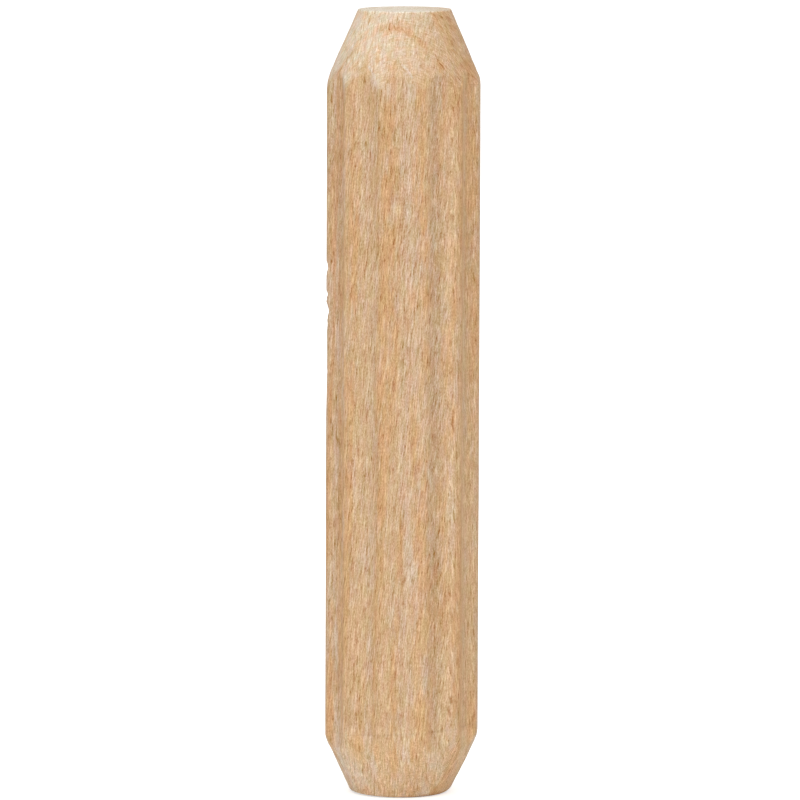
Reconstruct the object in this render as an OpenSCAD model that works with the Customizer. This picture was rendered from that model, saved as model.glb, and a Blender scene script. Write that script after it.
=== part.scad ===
// Fluted dowel pin, 8 x 40 mm: one turned stick of beech that joins two boards.
// It stands on its bottom end face, with its axis on +Z and the origin in the middle of that face.

/* [Pin] */
// Length over both end faces
pin_length = 40; // [30:1:60]
// Diameter over the crests, which is the size of the hole it is driven into
crest_d = 8; // [7:0.5:10]

/* [Flutes] */
// Number of flutes round the pin
flute_count = 12; // [10:1:16]
// Depth of each flute below the crests
flute_depth = 0.3; // [0.26:0.02:0.4]
// Radius to which the rollers round each crest
crest_round_r = 0.6; // [0.3:0.05:0.7]
// Width of turned surface left on top of each crest
crest_land_w = 0.2; // [0.1:0.02:0.3]

/* [Ends] */
// Length of the taper at the top end
top_taper = 3.85; // [2:0.05:6]
// Diameter of the top end face
top_face_d = 4.65; // [3:0.05:5.6]
// Length of the blunter taper at the bottom end
bottom_taper = 3.05; // [2:0.05:6]
// Diameter of the bottom end face
bottom_face_d = 5; // [3:0.05:5.6]
// Radius on the rim of the top end face
top_rim_r = 0.1; // [0.05:0.05:0.3]
// Radius on the rim of the bottom end face
bottom_rim_r = 0.2; // [0.05:0.05:0.3]
// Radius where each taper runs out into the crests
shoulder_r = 2; // [0.5:0.1:2.5]

/* [Nicks] */
// Height of the deepest nick above the middle of the pin
nick_height = 4.55; // [0:0.05:6]
// Length of the deepest nick along the pin
nick_length = 0.8; // [0.4:0.1:1.2]
// Depth of the deepest nick
nick_depth = 0.11; // [0.06:0.01:0.2]
// Length of each shallow nick above it
small_nick_length = 0.4; // [0.2:0.1:0.6]
// Depth of each shallow nick
small_nick_depth = 0.05; // [0.02:0.01:0.1]

/* [Hidden] */
$fn = 96;

crest_r = crest_d / 2;
flute_pitch = 360 / flute_count;

// A crest is an arc whose tip would stand this far above the turned surface that cuts it off.
crest_tip = crest_round_r - sqrt(pow(crest_round_r, 2) - pow(crest_land_w / 2, 2));
crest_axis_r = crest_r + crest_tip - crest_round_r;

// A flute is the arc that reaches the flute's floor and touches the crest arcs to both sides.
flute_floor_r = crest_r - flute_depth;
half_cos = cos(flute_pitch / 2);
touching_r = (
    pow(crest_axis_r, 2) + pow(flute_floor_r, 2) - pow(crest_round_r, 2)
    - 2 * crest_axis_r * flute_floor_r * half_cos
) / (2 * (crest_axis_r * half_cos + crest_round_r - flute_floor_r));
// It is cut this much wider, so that the two arcs cross by a hair and don't merely touch.
ARC_OVERLAP = 0.01;
flute_r = touching_r + ARC_OVERLAP;
flute_axis_r = flute_floor_r + flute_r;

// The core reaches out to where the arcs meet.
meeting_share = crest_round_r / (crest_round_r + touching_r);
meeting_x = crest_axis_r + meeting_share * ((flute_floor_r + touching_r) * half_cos - crest_axis_r);
meeting_y = meeting_share * (flute_floor_r + touching_r) * sin(flute_pitch / 2);
core_r = norm([meeting_x, meeting_y]);

// Corners of the turned outline, from the bottom face up, as [radius, height]
bottom_rim = [bottom_face_d / 2, 0];
bottom_shoulder = [crest_r, bottom_taper];
top_shoulder = [crest_r, pin_length - top_taper];
top_rim = [top_face_d / 2, pin_length];
ROUND_STEPS = 6;

// A flute faces +X and -X, so the widest part to either side is the flank of the crests beside it.
side_x = crest_axis_r * half_cos + crest_round_r;
// Heights of the shallow nicks above the deepest one
SMALL_NICKS = [0.65, 2.3];
// A nick runs along Y over the crests to both sides of the flute.
nick_span = crest_r;

function unit(v) = v / norm(v);

// The arc of radius r that blends the corner at b between the lines from a and to c, as points
function blend(a, b, c, r) =
    let (
        to_a = unit(a - b),
        to_c = unit(c - b),
        half_corner = acos(to_a * to_c) / 2,
        centre = b + unit(to_a + to_c) * r / sin(half_corner),
        start = b + to_a * r / tan(half_corner) - centre,
        turn = (90 - half_corner) * 2
    )
    [for (i = [0 : ROUND_STEPS])
        let (t = turn * i / ROUND_STEPS)
        centre + [
            start.x * cos(t) - start.y * sin(t),
            start.x * sin(t) + start.y * cos(t)
        ]
    ];

// The outline that the pin is turned to, with its rims and shoulders eased
module turned_blank() {
    rotate_extrude()
        polygon(concat(
            [[0, 0]],
            blend([0, 0], bottom_rim, bottom_shoulder, bottom_rim_r),
            blend(bottom_rim, bottom_shoulder, top_shoulder, shoulder_r),
            blend(bottom_shoulder, top_shoulder, top_rim, shoulder_r),
            blend(top_shoulder, top_rim, [0, pin_length], top_rim_r),
            [[0, pin_length]]
        ));
}

// Cross-section of the fluted stick: round crests, with a hollow flute between each two
module fluted_section() {
    difference() {
        union() {
            circle(r = core_r);
            for (i = [0 : flute_count - 1])
                rotate((i + 0.5) * flute_pitch)
                    translate([crest_axis_r, 0])
                        circle(r = crest_round_r);
        }
        for (i = [0 : flute_count - 1])
            rotate(i * flute_pitch)
                translate([flute_axis_r, 0])
                    circle(r = flute_r);
    }
}

// A shallow bruise across the crests on the -X side, centred at height z
module nick(z, length, depth) {
    scoop_r = (pow(length / 2, 2) + pow(depth, 2)) / (2 * depth);
    translate([depth - side_x - scoop_r, 0, z])
        rotate([90, 0, 0])
            cylinder(r = scoop_r, h = nick_span, center = true);
}

// The flutes run straight along the stick, so they run out on both tapers as shallow arches.
module dowel_pin() {
    nick_z = pin_length / 2 + nick_height;
    color("burlywood")
        difference() {
            intersection() {
                turned_blank();
                translate([0, 0, -1])
                    linear_extrude(height = pin_length + 2)
                        fluted_section();
            }
            nick(nick_z, nick_length, nick_depth);
            for (step = SMALL_NICKS)
                nick(nick_z + step, small_nick_length, small_nick_depth);
        }
}

dowel_pin();
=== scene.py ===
from math import cos, radians, sin

import bpy
import numpy as np
from mathutils import Matrix, Quaternion, Vector


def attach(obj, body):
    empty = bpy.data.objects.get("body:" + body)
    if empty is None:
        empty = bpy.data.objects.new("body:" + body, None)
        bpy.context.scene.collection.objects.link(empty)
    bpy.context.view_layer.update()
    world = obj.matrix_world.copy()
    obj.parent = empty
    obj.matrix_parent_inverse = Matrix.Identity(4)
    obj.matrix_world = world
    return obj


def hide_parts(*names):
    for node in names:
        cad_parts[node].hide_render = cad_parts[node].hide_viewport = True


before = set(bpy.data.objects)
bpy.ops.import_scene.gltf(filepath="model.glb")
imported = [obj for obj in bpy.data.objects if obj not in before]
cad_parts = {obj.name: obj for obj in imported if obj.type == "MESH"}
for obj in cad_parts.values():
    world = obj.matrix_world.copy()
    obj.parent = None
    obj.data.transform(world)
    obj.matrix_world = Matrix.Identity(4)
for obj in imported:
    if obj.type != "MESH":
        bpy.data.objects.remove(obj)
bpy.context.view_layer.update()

# ---------------------------------------------------------------------------------------------
# Dowel pin: a stick of beech turned to 8 mm, with twelve flutes pressed along it by ribbed
# rollers, so that glue and air can escape. It is cut to 40 mm, both ends are turned to a taper
# that finds its hole, and it is left raw, as cut.
# ---------------------------------------------------------------------------------------------
MM = 0.001              # sizes are in mm, and this turns them to m
PIN_LENGTH = 40.0
CREST_R = 4.0
TOP_FACE_R = 2.335
TOP_TAPER = 3.83
BOTTOM_FACE_R = 2.49
BOTTOM_TAPER = 3.1
# Radii of the bottom rim, the two shoulders and the top rim on the -X side, and then on the +X side,
# where the bottom rim is worn away
LEFT_CORNERS = (0.12, 0.5, 2.1, 0.06)
RIGHT_CORNERS = (0.6, 2.5, 0.3, 0.03)
TOP_LEAN = 0.037        # each taper is turned a hair off the stick's own axis, in mm along X
BOTTOM_LEAN = -0.079
TOP_SKEW = (0.004, 0.004)      # neither end is sawn quite square: the rise along X and along Y
BOTTOM_SKEW = (-0.023, 0.019)

FLUTES = 12
FLUTE_DEPTH = 0.3
CREST_ROUND_R = 0.6
CREST_LAND_W = 0.2
EDGE_WEAR = 0.008       # how softly a crest's land and a flute's end are worn, in mm

# The mesh: 27 columns to a flute, rows this far apart in mm along a taper and the shank, and the
# number of rows across a face
COLUMNS = FLUTES * 27
TAPER_ROW = 0.1
SHANK_ROW = 0.19
FACE_ROWS = 10


def lattice_noise(u, v, columns, rows, seed):
    """Smooth random values from 0 to 1. A grid of random numbers, which repeats after `columns`
    in u, is blended between its four nearest points by the curve 3t^2 - 2t^3."""
    grid = np.random.default_rng(seed).uniform(0, 1, (columns, rows))
    iu, iv = np.floor(u).astype(int), np.floor(v).astype(int)
    tu, tv = u - iu, v - iv
    tu, tv = tu * tu * (3 - 2 * tu), tv * tv * (3 - 2 * tv)
    a, b = iu % columns, (iu + 1) % columns
    c, d = iv % rows, (iv + 1) % rows
    low = grid[a, c] * (1 - tu) + grid[b, c] * tu
    high = grid[a, d] * (1 - tu) + grid[b, d] * tu
    return low * (1 - tv) + high * tv


def soft_min(a, b, softness):
    """The smaller of a and b, rounded where they meet: min(a, b) - s log(1 + e^(-|a - b| / s))."""
    least = np.minimum(a, b)
    return least - softness * np.log1p(np.exp(-np.abs(a - b) / softness))


def eased_corner(a, b, c, radius, steps=8):
    """Points on the arc of that radius which touches the lines from a to b and from b to c."""
    to_a = (a - b) / np.linalg.norm(a - b)
    to_c = (c - b) / np.linalg.norm(c - b)
    half = np.arccos(to_a @ to_c) / 2
    centre = b + (to_a + to_c) / np.linalg.norm(to_a + to_c) * radius / np.sin(half)
    start = b + to_a * radius / np.tan(half) - centre
    t = np.linspace(0, np.pi - 2 * half, steps)
    return centre + np.stack([start[0] * np.cos(t) - start[1] * np.sin(t),
                              start[0] * np.sin(t) + start[1] * np.cos(t)], axis=1)


def turned_outline(radii):
    """The outline [radius, height] the stick is turned to, from the middle of the bottom face to
    the middle of the top face: straight lines with an arc at each rim and shoulder."""
    corners = np.array([[0, 0], [BOTTOM_FACE_R, 0], [CREST_R, BOTTOM_TAPER],
                        [CREST_R, PIN_LENGTH - TOP_TAPER], [TOP_FACE_R, PIN_LENGTH], [0, PIN_LENGTH]])
    arcs = [eased_corner(*corners[i:i + 3], radii[i]) for i in range(4)]
    starts = [corners[0]] + [arc[-1] for arc in arcs]
    ends = [arc[0] for arc in arcs] + [corners[-1]]
    steps = [FACE_ROWS, BOTTOM_TAPER / TAPER_ROW, (PIN_LENGTH - BOTTOM_TAPER - TOP_TAPER) / SHANK_ROW,
             TOP_TAPER / TAPER_ROW, FACE_ROWS]
    lines = [np.linspace(a, b, round(n)) for a, b, n in zip(starts, ends, steps)]
    parts = [np.concatenate([line[:-1], arc]) for line, arc in zip(lines, arcs)]
    return np.concatenate(parts + [lines[-1][1:]])


def rolled_radius(angle):
    """Distance from the axis to the rolled surface along the ray at this angle. A crest is an arc
    that the turned surface cuts off, a flute the arc that touches the crests to both sides; on each
    ray the far hit with the crest's circle or the near hit with the flute's circle is taken."""
    half_pitch = np.pi / FLUTES
    crest_tip = CREST_ROUND_R - np.sqrt(CREST_ROUND_R ** 2 - (CREST_LAND_W / 2) ** 2)
    crest_axis = CREST_R + crest_tip - CREST_ROUND_R
    floor = CREST_R - FLUTE_DEPTH
    flute_r = ((crest_axis ** 2 + floor ** 2 - CREST_ROUND_R ** 2
                - 2 * crest_axis * floor * np.cos(half_pitch))
               / (2 * (crest_axis * np.cos(half_pitch) + CREST_ROUND_R - floor)))
    flute_axis = floor + flute_r
    from_flute = np.abs((angle + half_pitch) % (2 * half_pitch) - half_pitch)
    from_crest = half_pitch - from_flute
    crest = crest_axis * np.cos(from_crest) + np.sqrt(
        np.maximum(CREST_ROUND_R ** 2 - (crest_axis * np.sin(from_crest)) ** 2, 0))
    flute = flute_axis * np.cos(from_flute) - np.sqrt(
        flute_r ** 2 - (flute_axis * np.sin(from_flute)) ** 2)
    share = CREST_ROUND_R / (CREST_ROUND_R + flute_r)
    meeting = np.arctan2(share * flute_axis * np.sin(half_pitch),
                         crest_axis + share * (flute_axis * np.cos(half_pitch) - crest_axis))
    return np.minimum(np.where(from_crest < meeting, crest, flute), CREST_R)


# Each point lies between the outline of the -X side and that of the +X side.
left, right = turned_outline(LEFT_CORNERS)[1:-1], turned_outline(RIGHT_CORNERS)[1:-1]
rows = len(left)
angle = np.arange(COLUMNS) * 2 * np.pi / COLUMNS
ANGLE = np.repeat(angle[None, :], rows, axis=0)
right_share = (1 + np.cos(ANGLE)) / 2
BLANK = left[:, :1] * (1 - right_share) + right[:, :1] * right_share
HEIGHT = left[:, 1:] * (1 - right_share) + right[:, 1:] * right_share
ROLLED = rolled_radius(ANGLE)

# The lathe's centres were a hair off at each end, so that a taper leans towards one side.
lean = (BOTTOM_LEAN * np.clip(1 - HEIGHT / BOTTOM_TAPER, 0, 1)
        + TOP_LEAN * np.clip(1 - (PIN_LENGTH - HEIGHT) / TOP_TAPER, 0, 1))
lower_half = HEIGHT < PIN_LENGTH / 2
face_r = np.where(lower_half, BOTTOM_FACE_R, TOP_FACE_R)
BLANK = BLANK + lean * np.minimum(BLANK / face_r, 1) * np.cos(ANGLE)

# The cutter pushed up a burr on some shoulders and took a little more off another. For each: the side
# of the stick, 1 for +X and -1 for -X, then in mm the height, half the height it spreads over and the
# rise.
BURRS = [(1, 36.5, 0.22, 0.065), (-1, 2.65, 0.35, 0.04), (1, 2.6, 0.5, -0.045)]
for side, burr_z, spread, rise in BURRS:
    towards_side = np.maximum(side * np.cos(ANGLE), 0) ** 2
    BLANK += rise * np.exp(-((HEIGHT - burr_z) / spread) ** 2) * towards_side

# The rollers leave shallow waves, and torn fibres pit the tapers, whose wood stands a little proud
# between the pits. Depths and lengths are in mm, and the third value is how many there are round
# the pin.
WAVE_DEPTH, WAVE_LENGTH, WAVES_ROUND = 0.012, 4.0, 24
PIT_DEPTH, PIT_LENGTH, PITS_ROUND = 0.02, 0.35, 84
TAPER_PROUD = 0.015
around = ANGLE / (2 * np.pi)
wave = WAVE_DEPTH * lattice_noise(around * WAVES_ROUND, HEIGHT / WAVE_LENGTH, WAVES_ROUND,
                                  rows=12, seed=3)
pits = PIT_DEPTH * lattice_noise(around * PITS_ROUND, HEIGHT / PIT_LENGTH, PITS_ROUND,
                                 rows=115, seed=4)
ROLLED = ROLLED - wave
radius = soft_min(BLANK + (TAPER_PROUD - pits) * np.minimum(BLANK / face_r, 1), ROLLED, EDGE_WEAR)

# Nicks across the crests on the -X side: height, length and depth in mm. The last is a long, faint
# dent. The depth counts from the widest part of that side.
SIDE_X = 3.892
NICKS = [(24.66, 1.0, 0.142), (24.05, 1.0, 0.075), (25.5, 0.5, 0.095), (26.9, 0.8, 0.095),
         (21.68, 0.3, 0.075), (22.3, 6.0, 0.055)]
for nick_z, nick_length, nick_depth in NICKS:
    scoop_r = ((nick_length / 2) ** 2 + nick_depth ** 2) / (2 * nick_depth)
    off = np.clip(np.abs(HEIGHT - nick_z) / scoop_r, 0, 1)
    wall = SIDE_X - nick_depth + scoop_r - scoop_r * np.sqrt(1 - off ** 2)
    facing = np.maximum(-np.cos(ANGLE), 1e-3)
    radius = np.where(np.abs(HEIGHT - nick_z) < nick_length, np.minimum(radius, wall / facing), radius)

x, y = radius * np.cos(ANGLE), radius * np.sin(ANGLE)
sawn_top = PIN_LENGTH + TOP_SKEW[0] * x + TOP_SKEW[1] * y - np.hypot(*TOP_SKEW) * TOP_FACE_R
sawn_bottom = BOTTOM_SKEW[0] * x + BOTTOM_SKEW[1] * y + np.hypot(*BOTTOM_SKEW) * BOTTOM_FACE_R
z = -soft_min(-HEIGHT, -sawn_bottom, EDGE_WEAR)
z = soft_min(z, sawn_top, EDGE_WEAR)
points = np.stack([x, y, z], axis=2).reshape(-1, 3)
points = np.concatenate([points, [[0, 0, z[0].mean()], [0, 0, z[-1].mean()]]])
this, after = np.arange(COLUMNS)[None, :], (np.arange(COLUMNS)[None, :] + 1) % COLUMNS
row = np.arange(rows - 1)[:, None] * COLUMNS
quads = np.stack([row + this, row + after, row + COLUMNS + after, row + COLUMNS + this],
                 axis=2).reshape(-1, 4)
last_row = (rows - 1) * COLUMNS
foot, head = rows * COLUMNS, rows * COLUMNS + 1
foot_fan = np.stack([np.full(COLUMNS, foot), after[0], this[0]], axis=1)
head_fan = np.stack([np.full(COLUMNS, head), last_row + this[0], last_row + after[0]], axis=1)

mesh = bpy.data.meshes.new("fluted_pin")
mesh.from_pydata((points * MM).tolist(), [], quads.tolist() + foot_fan.tolist() + head_fan.tolist())
mesh.polygons.foreach_set("use_smooth", np.ones(len(mesh.polygons), dtype=bool))

# How far the tapers and faces are cut below the rolled surface, in mm. The cutter drags the fibres
# of each crest round a little. The shank is not cut, so there the value drops below nought, by
# SHANK_FALL more within a length of SHANK_EASE.
DRAGGED = radians(3.5)
EASED_BY_WEAR = 0.06     # a corner eased by less than this doesn't count as cut any deeper
SHANK_FALL, SHANK_EASE = 0.3, 0.4
cone = np.minimum(BOTTOM_FACE_R + (CREST_R - BOTTOM_FACE_R) * HEIGHT / BOTTOM_TAPER,
                  TOP_FACE_R + (CREST_R - TOP_FACE_R) * (PIN_LENGTH - HEIGHT) / TOP_TAPER)
trimmed = (rolled_radius(ANGLE + DRAGGED) - np.minimum(cone, BLANK + EASED_BY_WEAR)
           - lean * np.cos(ANGLE))
along_shank = np.minimum(HEIGHT - BOTTOM_TAPER, PIN_LENGTH - TOP_TAPER - HEIGHT)
trimmed -= SHANK_FALL * np.clip(along_shank / SHANK_EASE, 0, 1)
CUT_BLEND = 0.05         # the rolled surface and the cut each fade over this depth
is_rolled, is_trimmed = np.clip(-trimmed / CUT_BLEND, 0, 1), np.clip(trimmed / CUT_BLEND, 0, 1)

# How much lighter or darker the rolled surface is, along the whole pin: places in degrees round from
# the front, half widths in degrees, and tones. The back has the same again. It is partly the wood's
# own tone and partly painted shade and highlight on the flutes' flanks as the front light falls on
# them, with painted shade along both sides, at 90 degrees.
TONE_AND_SHADE_STREAKS = [(-60, 3, -0.08), (-54, 2, 0.02), (-47, 3, 0.078), (-39.5, 4, -0.015), (-29.5, 4, 0.018),
          (-17, 3, -0.043), (-9, 2.5, 0.039), (0, 1.5, -0.081), (3.5, 2.5, 0.023), (9, 2.5, 0.024),
          (15, 2, 0.04), (27, 4, -0.102), (38.5, 5, 0.043), (48, 2.5, -0.036), (53, 3, 0.127),
          (90, 10, -0.05)]
round_from_front = np.degrees(ANGLE) - 270
tone_and_shade = np.zeros_like(ANGLE)
for middle, half_width, tone in TONE_AND_SHADE_STREAKS:
    off_middle = (round_from_front - middle + 90) % 180 - 90
    tone_and_shade += tone * np.exp(-(off_middle / half_width) ** 2)
# It is uneven by this share, in patches this long in mm, with this many of them round the pin.
TONE_CHANGE, TONE_PATCH_LENGTH, TONE_PATCHES_ROUND = 0.4, 3.0, 36
patchy = lattice_noise(around * TONE_PATCHES_ROUND, HEIGHT / TONE_PATCH_LENGTH, TONE_PATCHES_ROUND, rows=16, seed=5)
tone_and_shade *= 1 - TONE_CHANGE + 2 * TONE_CHANGE * patchy
tone_and_shade *= is_rolled
# The cut is clean wood, paler than the rolled surface. At the foot it is lifted more, and that extra
# is
# painted light: the bounce from the white floor onto the downward-facing lower taper.
FOOT_CUT_TONE_AND_BOUNCE, HEAD_CUT_TONE = 0.085, 0.01
tone_and_shade += np.where(lower_half, FOOT_CUT_TONE_AND_BOUNCE, HEAD_CUT_TONE) * is_trimmed

# Single marks in the wood, each warmer or greyer (warmth above or below 0) and lighter or darker (tone
# above or below 0), as degrees round from the front, height, half width in degrees, half length in
# mm, warmth and tone
MARKS = [(-5, 39.75, 32, 0.3, -0.35, 0.01), (-57, 38.4, 4, 0.8, -0.18, 0),
         (-29, 38, 2.5, 0.6, -0.18, 0.007), (-18, 38, 2, 0.8, -0.18, 0.007),
         (-51, 36.5, 4, 0.4, -0.5, 0.06), (-22, 36.5, 5, 0.35, -0.5, 0.06),
         (-72, 37, 6, 0.6, -0.3, 0.014), (-50, 1.8, 20, 1.2, -0.3, 0.04),
         (4.5, 35.9, 3.5, 0.35, -0.6, 0.04), (-58, 39.75, 8, 0.2, 0.48, -0.021),
         (0, 39.3, 7, 0.22, 0.25, -0.02), (6.5, 39.05, 4, 0.2, 0.25, -0.02),
         (13, 38.65, 5, 0.3, 0.3, -0.03), (23, 38.2, 6, 0.25, 0.2, -0.02),
         (-43, 38.5, 5, 0.3, 0.42, -0.021), (-50, 38.25, 4, 0.2, 0.42, -0.014),
         (-23.5, 37.9, 1.5, 0.5, 0.6, -0.021), (-8, 37.2, 4, 0.25, 0.36, -0.021),
         (32, 37.35, 4, 0.25, 0.54, -0.021), (38, 39.6, 7, 0.45, 0.6, -0.042),
         (56, 39.75, 8, 0.25, 0.48, -0.035), (62, 39.3, 6, 0.3, 0.3, -0.035),
         (52, 38.65, 6, 0.4, 0.3, -0.042), (62.5, 37.2, 6, 0.35, 0.6, -0.049),
         (-66, 36.7, 4, 0.3, 0.42, -0.035), (-33, 36.8, 4.5, 0.4, 0.36, -0.028),
         (-13.5, 31.2, 1.8, 0.5, 0.9, -0.02), (15, 29.3, 2, 0.4, 0.8, 0),
         (-51, 25.8, 1.5, 0.35, 0.4, -0.12), (-1, 13.6, 1, 0.9, 0.6, -0.1),
         (-20, 13.8, 0.8, 0.5, 0.2, -0.12), (-8.7, 28.5, 2.5, 0.5, 0.7, 0),
         (2.5, 30.1, 2, 0.6, -0.8, 0.03), (5.3, 12.2, 3, 1.2, -0.8, 0.04),
         (-70, 4.3, 6, 1.8, 0.7, 0), (68, 4, 4, 1.3, 1.2, -0.02), (-47, 0.25, 7, 0.2, 0.3, -0.1),
         (20, 0.5, 5, 0.2, 0.3, -0.05), (40, 0.3, 6, 0.2, 0.6, -0.05),
         (-5, 0.25, 9, 0.2, 0.2, -0.03), (0.5, 0.3, 1.2, 0.3, 0.2, -0.12),
         (-22, 39.05, 5, 0.13, 0.5, -0.02), (-12, 39.2, 5, 0.15, 0.4, -0.03),
         (50, 1.8, 20, 1.2, 0, 0.02), (0, 40, 400, 0.1, 0, 0.12), (92, 40, 50, 0.12, 0.25, -0.1),
         (-85, 40, 40, 0.12, 0.1, -0.06), (60, 38.7, 8, 0.35, -0.4, 0.02),
         (0, 0.2, 80, 0.3, 0, 0.03), (0, 3.2, 400, 0.5, 0, 0.06), (3, 1.2, 4, 0.9, 0.5, -0.02),
         (-40, 1, 8, 0.6, -0.4, 0.03), (-63, 3.9, 5, 0.8, -0.1, 0.08), (-12, 2.8, 3, 0.4, 0, 0.05),
         (24, 2.8, 8, 0.6, 0, 0.11), (0, 8, 400, 6, 0.06, 0.012), (0, 31, 80, 5, 0, -0.02),
         (37, 9.8, 4, 2, 0.5, -0.07), (42, 35.6, 5, 1, 0.7, -0.05), (-72, 32.3, 5, 2.2, 0, -0.09),
         (39, 27.4, 4, 2, 0, 0.08), (-11, 36.1, 4, 0.6, -0.6, 0.04), (21.5, 8.6, 3, 2.2, 0, 0.07),
         (-41, 12.5, 3.5, 1.5, 0, -0.07), (-71, 24.7, 5, 2, -0.6, 0), (14, 4.7, 4, 0.9, 0.7, 0),
         (-43, 23.4, 4, 2, -0.6, 0), (12, 23.3, 3.5, 1.8, -0.6, 0), (10, 28.3, 3.5, 1.6, -0.6, 0),
         (-32, 39, 3, 0.3, 0.9, -0.08), (33, 39.65, 6, 0.3, -0.5, 0.07),
         (-68, 37.15, 5, 0.35, -0.6, 0.06), (-32, 36.75, 4, 0.3, 0, 0.07), (-5, 1.95, 3, 0.6, 1, 0),
         (-24, 1.8, 3.5, 0.6, -0.7, 0.03), (-38, 2.5, 6, 0.7, 0.7, 0), (-8, 2.7, 3, 0.6, 0, 0.08)]

# Streaks that run the whole length, warmer or greyer: degrees, half width in degrees, and warmth.
# The back has the same again. Less of them shows on the upper taper, and a little more on the lower.
# The grey streak at 90 degrees, along both sides as the camera sees them, is a painted sheen of
# grazing light.
STREAKS = [(-64, 4, -0.35), (-43, 10, 0.2), (-27, 3.5, -0.08), (-15, 7, 0.17), (2.5, 5, -0.28),
           (14, 5, 0.07), (26, 6, -0.25), (38, 4, 0.04), (50, 5, 0.7), (65, 6, 0.26), (90, 11, -0.5)]
STREAKS_AT_HEAD, STREAKS_AT_FOOT = 0.3, 1.25
warming = np.zeros_like(ANGLE)
for middle, half_width, warm_share in STREAKS:
    off_middle = (round_from_front - middle + 90) % 180 - 90
    warming += warm_share * np.exp(-(off_middle / half_width) ** 2)
warming *= np.where(lower_half, 1 + (STREAKS_AT_FOOT - 1) * is_trimmed,
                    np.maximum(is_rolled, STREAKS_AT_HEAD))
for middle, mark_z, half_width, half_length, warm_share, tone in MARKS:
    off_middle = (round_from_front - middle + 180) % 360 - 180
    mark = np.exp(-(off_middle / half_width) ** 2 - ((HEIGHT - mark_z) / half_length) ** 2)
    warming += warm_share * mark
    tone_and_shade += tone * mark
for name, values in [("trimmed", trimmed), ("toned_and_shaded", tone_and_shade), ("warmth", warming)]:
    values = np.concatenate([values.ravel(), values[[0, -1]].mean(axis=1)])
    mesh.attributes.new(name, "FLOAT", "POINT").data.foreach_set("value", values.astype(np.float32))
mesh.update()
pin = bpy.data.objects.new("fluted_pin", mesh)
bpy.context.scene.collection.objects.link(pin)


def linear(code):
    """An sRGB hex code as linear red, green, blue and alpha."""
    parts = [int(code[i:i + 2], 16) / 255 for i in (1, 3, 5)]
    return (*[c / 12.92 if c <= 0.04045 else ((c + 0.055) / 1.055) ** 2.4 for c in parts], 1.0)


def add(tree, kind, settings=None, **inputs):
    """Adds a node with its settings. Each input is a plain value, an output, or a node, whose first
    output in use is taken. It is named with _ for a space, or i0, i1 and so on for its number."""
    node = tree.nodes.new(kind)
    for name, value in (settings or {}).items():
        setattr(node, name, value)
    for name, value in inputs.items():
        socket = node.inputs[int(name[1:]) if name[1:].isdigit() else name.replace("_", " ")]
        if isinstance(value, bpy.types.Node):
            value = next(output for output in value.outputs if output.enabled)
        if isinstance(value, bpy.types.NodeSocket):
            tree.links.new(value, socket)
        else:
            socket.default_value = value
    return node


def cells(across, deep, along):
    """The Mapping scale of a pattern whose cells have these sizes in mm, across the grain in the
    plane of a growth ring, through the rings, and along the grain."""
    return (1 / (across * MM), 1 / (deep * MM), 1 / (along * MM))


# Raw beech, turned, rolled and cut but not sanded: matt, with the short dark dashes of its rays and
# paler fibres between them, in bands of tan, orange and grey that are tinged pinkish or greenish,
# and with a growth line every few millimetres.
wood = bpy.data.materials.new("raw_beech")
wood.use_nodes = True
tree = wood.node_tree
tree.nodes.clear()
GRAIN_LEAN = radians(-5.6)  # the stick was split a little across the grain
BAND_LEAN = radians(-1.5)   # the bands of colour lean less
RING_TILT = radians(-2.7)   # from front to back the growth rings lean a little too
RING_TURN = radians(10)     # they lie nearly across the front, turned by this
WAVER = 0.2 * MM            # the grain strays by up to half of this to either side
place = add(tree, "ShaderNodeTexCoord").outputs["Object"]
drift = add(tree, "ShaderNodeTexNoise", Scale=1.0, Detail=1.0,
            Vector=add(tree, "ShaderNodeMapping", Vector=place, Scale=cells(1.5, 2.5, 8)))
waver = add(tree, "ShaderNodeVectorMath", {"operation": "MULTIPLY_ADD"}, i0=drift.outputs["Color"],
            i1=(WAVER, WAVER, 0), i2=(-WAVER / 2, -WAVER / 2, 0))
wavering = add(tree, "ShaderNodeVectorMath", {"operation": "ADD"}, i0=place, i1=waver)
grain = add(tree, "ShaderNodeMapping", Vector=wavering, Rotation=(RING_TILT, GRAIN_LEAN, RING_TURN))
along_bands = add(tree, "ShaderNodeMapping", Vector=wavering,
                  Rotation=(RING_TILT, BAND_LEAN, RING_TURN))

# Bands of colour, each a noise that runs along the grain. A Location only sets one pattern off from
# another.
TAN = linear("#cca87e")
ORANGE = linear("#cc9f6e")
GREY = linear("#cbae91")
warm_bands = add(tree, "ShaderNodeTexNoise", Scale=1.0, Detail=2.0,
                 Vector=add(tree, "ShaderNodeMapping", Vector=along_bands, Scale=cells(0.7, 2.0, 30)))
grey_bands = add(tree, "ShaderNodeTexNoise", Scale=1.0, Detail=2.5, Roughness=0.75,
                 Vector=add(tree, "ShaderNodeMapping", Vector=along_bands, Location=(0.003, 0, 0),
                            Scale=cells(0.45, 1.2, 2.4)))
hue_bands = add(tree, "ShaderNodeTexNoise", Scale=1.0, Detail=2.3, Roughness=0.7,
                Vector=add(tree, "ShaderNodeMapping", Vector=along_bands, Location=(0, 0.003, 0),
                           Scale=cells(0.35, 0.7, 1.0)))
warm = add(tree, "ShaderNodeMapRange", Value=warm_bands, From_Min=0.42, From_Max=0.6)
grey = add(tree, "ShaderNodeMapRange", Value=grey_bands, From_Min=0.42, From_Max=0.75)
hue = add(tree, "ShaderNodeMapRange", Value=hue_bands, From_Min=0.35, From_Max=0.65,
          To_Min=-1.0, To_Max=1.0)
warmth = add(tree, "ShaderNodeAttribute", {"attribute_name": "warmth"}).outputs["Fac"]
toned_and_shaded = add(tree, "ShaderNodeAttribute", {"attribute_name": "toned_and_shaded"}).outputs["Fac"]

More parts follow.
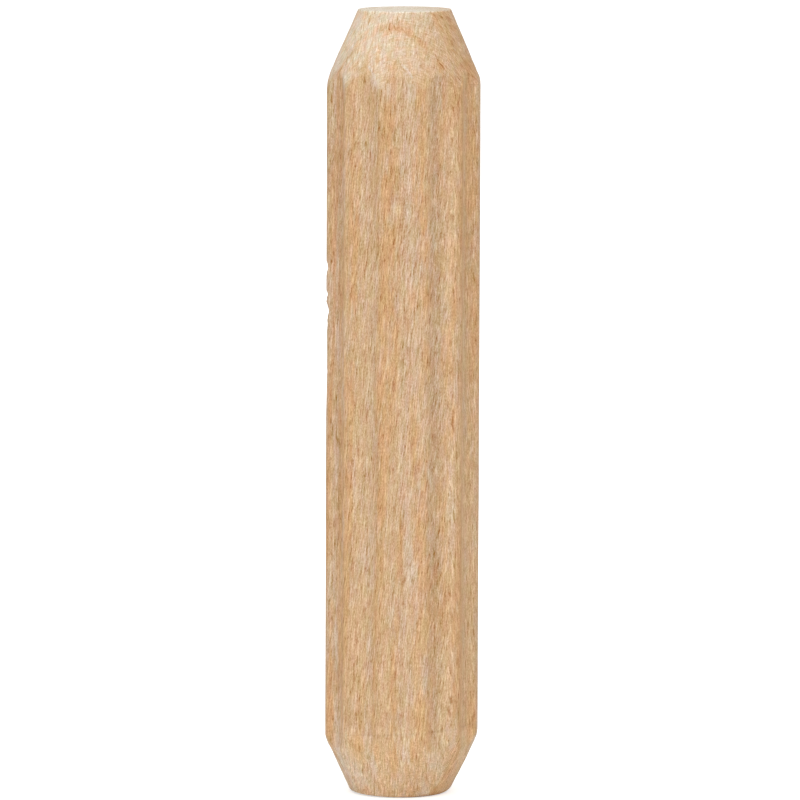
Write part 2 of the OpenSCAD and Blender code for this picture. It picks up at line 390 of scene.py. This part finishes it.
# Thin flaws: cracks, fibres that the cutter lifted, and its scratches. Each is a long narrow spot
# between two places, in degrees round from the front and height in mm, with its half width in mm,
# warmth and tone.
FLAWS = [(28.5, 37.9, 30.5, 37.5, 0.05, 0.1, -0.3), (30.5, 37.5, 36, 37.03, 0.055, 0.1, -0.42),
         (29, 37.6, 34, 37.1, 0.15, 0.5, -0.03), (-1.5, 37.4, 3.5, 37.08, 0.08, -1, 0.1),
         (3.5, 37.08, 7, 36.7, 0.08, -1, 0.1), (-2.5, 37.3, 2.5, 36.95, 0.045, 0.2, -0.15),
         (-30.5, 37.3, -26, 37, 0.1, -1, 0.04), (-26, 37, -22.5, 36.7, 0.1, -1, 0.04),
         (-22, 38.85, -10, 39.12, 0.2, 0.5, -0.04), (-10, 39.12, 3, 39.1, 0.22, 0.5, -0.04),
         (3, 39.1, 11, 38.7, 0.2, 0.5, -0.05), (11, 38.7, 21, 38.15, 0.2, 0.5, -0.05),
         (-12, 39.35, -8, 39.05, 0.04, 0.3, -0.25), (-17, 39.2, -13, 38.9, 0.04, 0.3, -0.25),
         (-3, 39.2, 1, 38.95, 0.04, 0.3, -0.25), (-60.5, 37.2, -61, 36.85, 0.06, 0.2, -0.25),
         (48, 38.1, 56, 37.75, 0.05, 0.4, -0.2), (58, 37.8, 64, 37.3, 0.06, 0.4, -0.22),
         (64, 37.5, 70, 36.9, 0.06, 0.5, -0.2), (53, 37.3, 60, 37.0, 0.05, 0.4, -0.15),
         (60, 36.9, 70, 36.55, 0.06, 0.5, -0.15), (40, 39.6, 42, 39.42, 0.07, 0.5, -0.25),
         (37.5, 39.85, 40, 39.7, 0.06, 0.4, -0.2), (47, 39.75, 52, 39.6, 0.07, 0.5, -0.2),
         (60, 39.7, 64, 39.55, 0.07, 0.4, -0.2), (50, 39.35, 52, 39.1, 0.06, 0.4, -0.25),
         (42, 39.35, 45, 38.9, 0.12, 0.6, -0.1), (1.5, 3.0, 2.2, 2.0, 0.1, -0.6, 0.07),
         (8, 3.3, 9, 2, 0.17, 0.7, -0.02), (-18, 3.2, -21, 1.8, 0.17, 0.6, -0.02)]
FLAW_DEPTH = 0.4            # in mm
FLAW_FADE = 1.2             # a flaw fades out at this many times its half length
for deg_a, z_a, deg_b, z_b, half_width, warm_share, tone in FLAWS:
    tips = []
    for degrees_round, flaw_z in [(deg_a, z_a), (deg_b, z_b)]:
        way_round = radians(degrees_round)
        flaw_r = min(CREST_R, BOTTOM_FACE_R + (CREST_R - BOTTOM_FACE_R) * flaw_z / BOTTOM_TAPER,
                     TOP_FACE_R + (CREST_R - TOP_FACE_R) * (PIN_LENGTH - flaw_z) / TOP_TAPER)
        tips.append(Vector((flaw_r * sin(way_round), -flaw_r * cos(way_round), flaw_z)))
    midway, reach = (tips[0] + tips[1]) / 2, (tips[1] - tips[0]) / 2
    along = reach.normalized()
    broad = Vector((midway.x, midway.y, 0)).cross(reach).normalized()
    turn = Matrix((broad, along.cross(broad), along)).transposed().to_euler()
    blob = add(tree, "ShaderNodeMapping", {"vector_type": "TEXTURE"}, Vector=place,
               Location=midway * MM, Rotation=turn,
               Scale=(half_width * MM, FLAW_DEPTH * MM, reach.length * FLAW_FADE * MM))
    flaw = add(tree, "ShaderNodeMapRange", From_Max=0.5,
               Value=add(tree, "ShaderNodeTexGradient", {"gradient_type": "SPHERICAL"}, Vector=blob))
    warmth = add(tree, "ShaderNodeMath", {"operation": "MULTIPLY_ADD"}, i0=flaw,
                 i1=warm_share, i2=warmth)
    toned_and_shaded = add(tree, "ShaderNodeMath", {"operation": "MULTIPLY_ADD"}, i0=flaw,
                 i1=tone, i2=toned_and_shaded)
warm = add(tree, "ShaderNodeMath", {"operation": "ADD", "use_clamp": True}, i0=warm, i1=warmth)
grey = add(tree, "ShaderNodeMath", {"operation": "SUBTRACT", "use_clamp": True}, i0=grey, i1=warmth)
body = add(tree, "ShaderNodeMix", {"data_type": "RGBA"}, i0=warm, i6=TAN, i7=ORANGE)
body = add(tree, "ShaderNodeMix", {"data_type": "RGBA"}, i0=grey, i6=body, i7=GREY)

# The cut of the tapers and faces tears fibres, which look paler, most on the side where the cutter
# runs against the grain, and its edge is ragged.
TORN_WARM = linear("#e4c19c")
TORN_GREY = linear("#ddccb4")
RAGGED = 0.3                # the edge strays by up to half of this to either side, in mm of depth
# The cutter's marks lie in arcs across the front, which droop towards the sides by this many mm
# times the square of the way there in mm.
DROOP = 0.2
xyz = add(tree, "ShaderNodeSeparateXYZ", i0=place)
droop = add(tree, "ShaderNodeMath", {"operation": "MULTIPLY"},
            i0=xyz.outputs["X"], i1=xyz.outputs["X"])
lifted = add(tree, "ShaderNodeMath", {"operation": "MULTIPLY_ADD"}, i0=droop, i1=DROOP / MM,
             i2=xyz.outputs["Z"])
arched = add(tree, "ShaderNodeCombineXYZ", X=xyz.outputs["X"], Y=xyz.outputs["Y"], Z=lifted)
patches = add(tree, "ShaderNodeTexNoise", Scale=1.0, Detail=2.0,
              Vector=add(tree, "ShaderNodeMapping", Vector=arched, Scale=cells(0.4, 0.4, 0.3)))
cut_depth = add(tree, "ShaderNodeAttribute", {"attribute_name": "trimmed"}).outputs["Fac"]
ragged = add(tree, "ShaderNodeMath", {"operation": "MULTIPLY_ADD"}, i0=patches,
             i1=RAGGED, i2=-RAGGED / 2)
cut_edge = add(tree, "ShaderNodeMath", {"operation": "ADD"}, i0=cut_depth, i1=ragged)
is_cut = add(tree, "ShaderNodeMapRange", From_Min=-0.02, From_Max=0.06, Value=cut_edge)
against = add(tree, "ShaderNodeMapRange", Value=xyz.outputs["X"],
              From_Min=2.4 * MM, From_Max=-2.0 * MM, To_Min=0.0, To_Max=1.0)
# 0 at the foot and 1 at the head, with the change along the middle of the shank
upper = add(tree, "ShaderNodeMapRange", Value=xyz.outputs["Z"],
            From_Min=10 * MM, From_Max=30 * MM, To_Min=0.0, To_Max=1.0)
face = add(tree, "ShaderNodeMapRange", Value=xyz.outputs["Z"],
           From_Min=39.9 * MM, From_Max=39.98 * MM, To_Min=0.0, To_Max=0.7)
deeper = add(tree, "ShaderNodeMapRange", Value=cut_edge, From_Min=0.0, From_Max=0.7,
             To_Min=0.3, To_Max=1.0)
torn = add(tree, "ShaderNodeMath", {"operation": "MULTIPLY"}, i0=against, i1=deeper)
# The lower taper is torn far less, most at its two sides, and the top face is torn all over.
sides = add(tree, "ShaderNodeMapRange", From_Min=1 * MM, From_Max=3 * MM, To_Max=0.22,
            Value=add(tree, "ShaderNodeMath", {"operation": "ABSOLUTE"}, i0=xyz.outputs["X"]))
foot_side = add(tree, "ShaderNodeMapRange", Value=xyz.outputs["Z"],
                From_Min=4.5 * MM, From_Max=2.5 * MM, To_Min=0.0, To_Max=sides)
torn_ends = add(tree, "ShaderNodeMath", {"operation": "MAXIMUM"}, i0=face, i1=foot_side)
torn = add(tree, "ShaderNodeMath", {"operation": "MULTIPLY_ADD", "use_clamp": True}, i0=torn,
           i1=add(tree, "ShaderNodeMapRange", Value=upper, To_Min=0.15, To_Max=1.0), i2=torn_ends)
# Torn wood is greyer where it frays, in patches and on the top face, and less so where it is warm.
fraying = add(tree, "ShaderNodeMapRange", Value=patches, From_Min=0.35, From_Max=0.6,
              To_Min=0.1, To_Max=0.9)
fraying = add(tree, "ShaderNodeMath", {"operation": "ADD"}, i0=fraying, i1=face)
fraying = add(tree, "ShaderNodeMath", {"operation": "MULTIPLY_ADD", "use_clamp": True}, i0=warmth,
              i1=-1.0, i2=fraying)
frayed = add(tree, "ShaderNodeMix", {"data_type": "RGBA"}, i0=fraying, i6=TORN_WARM, i7=TORN_GREY)
# Where the cut is clean, warmer stains show on it.
stains = add(tree, "ShaderNodeTexNoise", Scale=1.0, Detail=1.0,
             Vector=add(tree, "ShaderNodeMapping", Vector=place, Location=(0.004, 0, 0),
                        Scale=cells(0.3, 0.6, 0.9)))
stained = add(tree, "ShaderNodeMapRange", Value=stains, From_Min=0.5, From_Max=0.68, To_Max=0.4)
stained = add(tree, "ShaderNodeMath", {"operation": "MULTIPLY_ADD", "use_clamp": True}, i0=warmth,
              i1=0.5, i2=stained)
cut = add(tree, "ShaderNodeMix", {"data_type": "RGBA"}, i0=stained, i6=body, i7=ORANGE)
cut = add(tree, "ShaderNodeMix", {"data_type": "RGBA"}, i0=torn, i6=cut, i7=frayed)
body = add(tree, "ShaderNodeMix", {"data_type": "RGBA"}, i0=is_cut, i6=body, i7=cut)

# Growth rings: the distance from the pith, which lies behind the pin, counted in rings from the growth
# line. Each ends in denser, orange-brown late wood with a thin dark line.
PITH_DISTANCE = 45.0        # from the growth line, in mm
RING_WIDTH = 3.6
RING_AT = 1.8               # how far in front of the axis the growth line runs at the foot, in mm
COUNT_FROM = 20             # what the line itself counts as, so that no count is below nought
LATE_WOOD = linear("#c48c58")
across = add(tree, "ShaderNodeVectorMath", {"operation": "MULTIPLY_ADD"}, i0=grain,
             i1=(1 / MM, 1 / MM, 0), i2=(0, RING_AT - PITH_DISTANCE, 0))
from_pith = add(tree, "ShaderNodeVectorMath", {"operation": "LENGTH"}, i0=across).outputs["Value"]
ring_count = add(tree, "ShaderNodeMath", {"operation": "MULTIPLY_ADD"}, i0=from_pith,
                 i1=1 / RING_WIDTH, i2=COUNT_FROM - PITH_DISTANCE / RING_WIDTH)
ring_phase = add(tree, "ShaderNodeMath", {"operation": "FRACT"}, i0=ring_count)
dense = add(tree, "ShaderNodeMapRange", {"interpolation_type": "SMOOTHSTEP"}, Value=ring_phase,
            From_Min=0.9, From_Max=0.97, To_Max=0.22)
ring_line = add(tree, "ShaderNodeMapRange", {"interpolation_type": "SMOOTHSTEP"}, Value=ring_phase,
                From_Min=0.955, From_Max=0.97, To_Max=0.1)
fall = add(tree, "ShaderNodeMapRange", {"interpolation_type": "SMOOTHSTEP"}, Value=ring_phase,
           From_Min=0.97, From_Max=1.0, To_Min=1.0, To_Max=0.0)
late = add(tree, "ShaderNodeMath", {"operation": "ADD"}, i0=dense, i1=ring_line)
late = add(tree, "ShaderNodeMath", {"operation": "MULTIPLY"}, i0=late, i1=fall)
late = add(tree, "ShaderNodeMath", {"operation": "MULTIPLY"}, i0=late,
           i1=add(tree, "ShaderNodeMapRange", Value=warm_bands, From_Min=0.38, From_Max=0.62,
                  To_Min=0.1, To_Max=1.5))
body = add(tree, "ShaderNodeMix", {"data_type": "RGBA"}, i0=late, i6=body, i7=LATE_WOOD)

# Fine light and dark, summed as one tone: the dark dashes of the rays, pale fibres, pores, a soft
# mottle, and on the cut the arcs that the cutter scored. Dark wood is browner, so blue falls most
# with the tone.
# At the sides the surface cuts through the rings. There a pattern's sizes across and through them
# change places, so that its lines stay fine, but not on the top face.
SIDE_FROM = 0.8             # how squarely the surface has to face along the rings to count as a side
outward = add(tree, "ShaderNodeVectorMath", {"operation": "MULTIPLY"}, i0=place, i1=(1, 1, 0))
outward = add(tree, "ShaderNodeVectorMath", {"operation": "NORMALIZE"}, i0=outward)
along_rings = add(tree, "ShaderNodeVectorMath", {"operation": "DOT_PRODUCT"}, i0=outward,
                  i1=(cos(RING_TURN), -sin(RING_TURN), 0)).outputs["Value"]
sideways = add(tree, "ShaderNodeMath", {"operation": "ABSOLUTE"}, i0=along_rings)
sideways = add(tree, "ShaderNodeMath", {"operation": "MULTIPLY_ADD"}, i0=patches, i1=0.1, i2=sideways)
sideways = add(tree, "ShaderNodeMath", {"operation": "SUBTRACT"}, i0=sideways, i1=face)
at_side = add(tree, "ShaderNodeMath", {"operation": "GREATER_THAN"}, i0=sideways, i1=SIDE_FROM)
swapped = add(tree, "ShaderNodeSeparateXYZ", i0=grain)
swapped = add(tree, "ShaderNodeCombineXYZ", X=swapped.outputs["Y"], Y=swapped.outputs["X"],
              Z=swapped.outputs["Z"])
cut_grain = add(tree, "ShaderNodeMix", {"data_type": "VECTOR"}, i0=at_side, i4=grain, i5=swapped)
rays = add(tree, "ShaderNodeTexNoise", Scale=1.0, Detail=1.0,
           Vector=add(tree, "ShaderNodeMapping", Vector=cut_grain, Location=(0, 0, 0.005),
                      Scale=cells(0.048, 2.0, 0.53)))
fibres = add(tree, "ShaderNodeTexNoise", Scale=1.0, Detail=1.0,
             Vector=add(tree, "ShaderNodeMapping", Vector=cut_grain, Location=(0, 0, 0.007),
                        Scale=cells(0.04, 0.2, 0.8)))
pores = add(tree, "ShaderNodeTexNoise", Scale=1.0, Detail=1.0,
            Vector=add(tree, "ShaderNodeMapping", Vector=grain, Scale=cells(0.035, 0.04, 0.1)))
mottle = add(tree, "ShaderNodeTexNoise", Scale=1.0, Detail=2.0,
             Vector=add(tree, "ShaderNodeMapping", Vector=along_bands, Location=(0.009, 0, 0),
                        Scale=cells(0.1, 0.5, 5.0)))
scoring = add(tree, "ShaderNodeTexNoise", Scale=1.0, Detail=1.0,
              Vector=add(tree, "ShaderNodeMapping", Vector=arched, Scale=cells(0.3, 0.3, 0.045)))
RAY_TONE, FIBRE_TONE, PORE_TONE, MOTTLE_TONE, SCORE_TONE = -0.38, 0.37, 1.05, 0.23, 0.8
GROUND_TONE, FIBRE_GROUND = 0.056, -0.07     # plain wood between the rays, and between the fibres
flecks = add(tree, "ShaderNodeMapRange", Value=rays, From_Min=0.55, From_Max=0.72,
             To_Min=GROUND_TONE, To_Max=GROUND_TONE + RAY_TONE)
flecks = add(tree, "ShaderNodeMath", {"operation": "ADD"}, i0=flecks,
             i1=add(tree, "ShaderNodeMapRange", Value=fibres, From_Min=0.5, From_Max=0.68,
                    To_Min=FIBRE_GROUND, To_Max=FIBRE_GROUND + FIBRE_TONE))
flecks = add(tree, "ShaderNodeMath", {"operation": "ADD"}, i0=flecks,
             i1=add(tree, "ShaderNodeMath", {"operation": "MULTIPLY_ADD"}, i0=pores,
                    i1=PORE_TONE, i2=-PORE_TONE / 2))
flecks = add(tree, "ShaderNodeMath", {"operation": "ADD"}, i0=flecks,
             i1=add(tree, "ShaderNodeMath", {"operation": "MULTIPLY_ADD"}, i0=mottle,
                    i1=MOTTLE_TONE, i2=-MOTTLE_TONE / 2))
# The scoring shows most where the cut is clean, and half as much at the foot.
score_share = add(tree, "ShaderNodeMath", {"operation": "MAXIMUM"}, i0=upper, i1=0.5)
score_share = add(tree, "ShaderNodeMapRange", Value=torn, To_Min=score_share, To_Max=0.2)
score_share = add(tree, "ShaderNodeMath", {"operation": "MULTIPLY"}, i0=is_cut, i1=score_share)
scored = add(tree, "ShaderNodeMath", {"operation": "MULTIPLY"}, i0=score_share,
             i1=add(tree, "ShaderNodeMath", {"operation": "MULTIPLY_ADD"}, i0=scoring,
                    i1=SCORE_TONE, i2=-SCORE_TONE / 2))
# The fine grain shows less on the cut of the upper end.
calmed = add(tree, "ShaderNodeMapRange", To_Min=1.0, To_Max=0.7,
             Value=add(tree, "ShaderNodeMath", {"operation": "MULTIPLY"}, i0=is_cut, i1=upper))
relief = add(tree, "ShaderNodeMath", {"operation": "MULTIPLY_ADD"}, i0=flecks, i1=calmed, i2=scored)
# The tone from the mesh joins here: partly the wood's own, partly painted shade and highlight on the
# flutes and painted bounce light on the lower taper.
flecks = add(tree, "ShaderNodeMath", {"operation": "ADD"}, i0=toned_and_shaded, i1=relief)
# How much a tone weighs in red, green and blue, and what the greenest tinge adds to the shade in each
# and the pinkest takes off
TONE_WEIGHTS = (0.85, 1.27, 1.85)
PINK_TO_GREEN = (-0.032, 0.016, -0.048)
shade = add(tree, "ShaderNodeVectorMath", {"operation": "SCALE"}, i0=TONE_WEIGHTS, Scale=flecks)
shade = add(tree, "ShaderNodeVectorMath", {"operation": "ADD"}, i0=shade, i1=(1, 1, 1))
shade = add(tree, "ShaderNodeVectorMath", {"operation": "ADD"}, i0=shade,
            i1=add(tree, "ShaderNodeVectorMath", {"operation": "SCALE"}, i0=PINK_TO_GREEN, Scale=hue))
colour = add(tree, "ShaderNodeVectorMath", {"operation": "MULTIPLY"}, i0=body, i1=shade)
bump = add(tree, "ShaderNodeBump", Height=relief, Strength=0.25, Distance=0.03 * MM)
shader = add(tree, "ShaderNodeBsdfPrincipled", Base_Color=colour, Roughness=0.65, Normal=bump)
add(tree, "ShaderNodeOutputMaterial", Surface=shader)
mesh.materials.append(wood)
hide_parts("dowel_pin")
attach(pin, "root")

# ---------------------------------------------------------------------------------------------
# Floor: a plain sheet of white card, lit by the same soft light as the pin. It is laid out flat,
# and so large that its edges don't show.
# ---------------------------------------------------------------------------------------------
FLOOR_HALF = 3.0        # half its width, in m
floor_mesh = bpy.data.meshes.new("floor")
floor_corners = np.array([[-1, -1, 0], [1, -1, 0], [1, 1, 0], [-1, 1, 0]]) * FLOOR_HALF
floor_mesh.from_pydata(floor_corners.tolist(), [], [(0, 1, 2, 3)])
floor = bpy.data.objects.new("floor", floor_mesh)
bpy.context.scene.collection.objects.link(floor)

# White card, matt. Seen by the camera it also glows a little, so that it is as white as its shade
# allows and keeps the shadow.
WHITE = linear("#ffffff")
FLOOR_GLOW = 0.57
card = bpy.data.materials.new("white_card")
card.use_nodes = True
tree = card.node_tree
tree.nodes.clear()
matt = add(tree, "ShaderNodeBsdfDiffuse", Color=linear("#f3f3f3"))
glow = add(tree, "ShaderNodeEmission", Color=WHITE, Strength=FLOOR_GLOW)
lit = add(tree, "ShaderNodeAddShader", i0=matt, i1=glow)
light_path = add(tree, "ShaderNodeLightPath")
seen = add(tree, "ShaderNodeMixShader", Fac=light_path.outputs["Is Camera Ray"], i1=matt, i2=lit)
add(tree, "ShaderNodeOutputMaterial", Surface=seen)
floor_mesh.materials.append(card)

# ---------------------------------------------------------------------------------------------
# Light and camera: a white tent with soft lamps in front, to the left and above, and a long lens
# that looks slightly down.
# ---------------------------------------------------------------------------------------------
scene = bpy.context.scene
scene.view_settings.view_transform = "Standard"
TENT_LIGHT = 0.576      # what the tent gives the pin; the camera sees it as white
tent = bpy.data.worlds.new("light_tent")
scene.world = tent
tent.use_nodes = True
tree = tent.node_tree
tree.nodes.clear()
soft_light = add(tree, "ShaderNodeBackground", Color=WHITE, Strength=TENT_LIGHT)
white = add(tree, "ShaderNodeBackground", Color=WHITE, Strength=1.0)
light_path = add(tree, "ShaderNodeLightPath")
seen = add(tree, "ShaderNodeMixShader", Fac=light_path.outputs["Is Camera Ray"],
           i1=soft_light, i2=white)
add(tree, "ShaderNodeOutputWorld", Surface=seen)

aim = Vector((0, 0, PIN_LENGTH / 2 * MM))
# Each lamp's name, place and size in m, and watts
for name, lamp_at, size, watts in [("front_lamp", (0, -0.8, 0.12), 0.2, 1.57),
                                   ("side_lamp", (-0.5, -0.65, 0.32), 0.6, 0.53),
                                   ("top_lamp", (0, -0.1, 0.9), 0.8, 3.3)]:
    lamp_data = bpy.data.lights.new(name, "AREA")
    lamp_data.size = size
    lamp_data.energy = watts
    lamp = bpy.data.objects.new(name, lamp_data)
    lamp.location = lamp_at
    lamp.rotation_euler = (aim - Vector(lamp_at)).to_track_quat("-Z", "Y").to_euler()
    scene.collection.objects.link(lamp)

# The camera's distance, the angle it looks down at, its tilt, and how wide a view it has of the pin,
# with lengths in m
EYE_DISTANCE = 0.400
EYE_RISE = radians(6.14)
EYE_ROLL = radians(0.206)
VIEW_WIDTH = 0.040675
FARTHEST = 50           # nothing past this is seen
camera_data = bpy.data.cameras.new("camera")
camera_data.lens = camera_data.sensor_width * EYE_DISTANCE / VIEW_WIDTH
camera_data.clip_end = FARTHEST
camera = bpy.data.objects.new("camera", camera_data)
scene.collection.objects.link(camera)
target = Vector((-0.133, 0, 20.09)) * MM
to_eye = Vector((0, -cos(EYE_RISE), sin(EYE_RISE)))
camera.location = target + EYE_DISTANCE * to_eye
looking = (-to_eye).to_track_quat("-Z", "Y") @ Quaternion((0, 0, 1), EYE_ROLL)
camera.rotation_euler = looking.to_euler()
scene.camera = camera
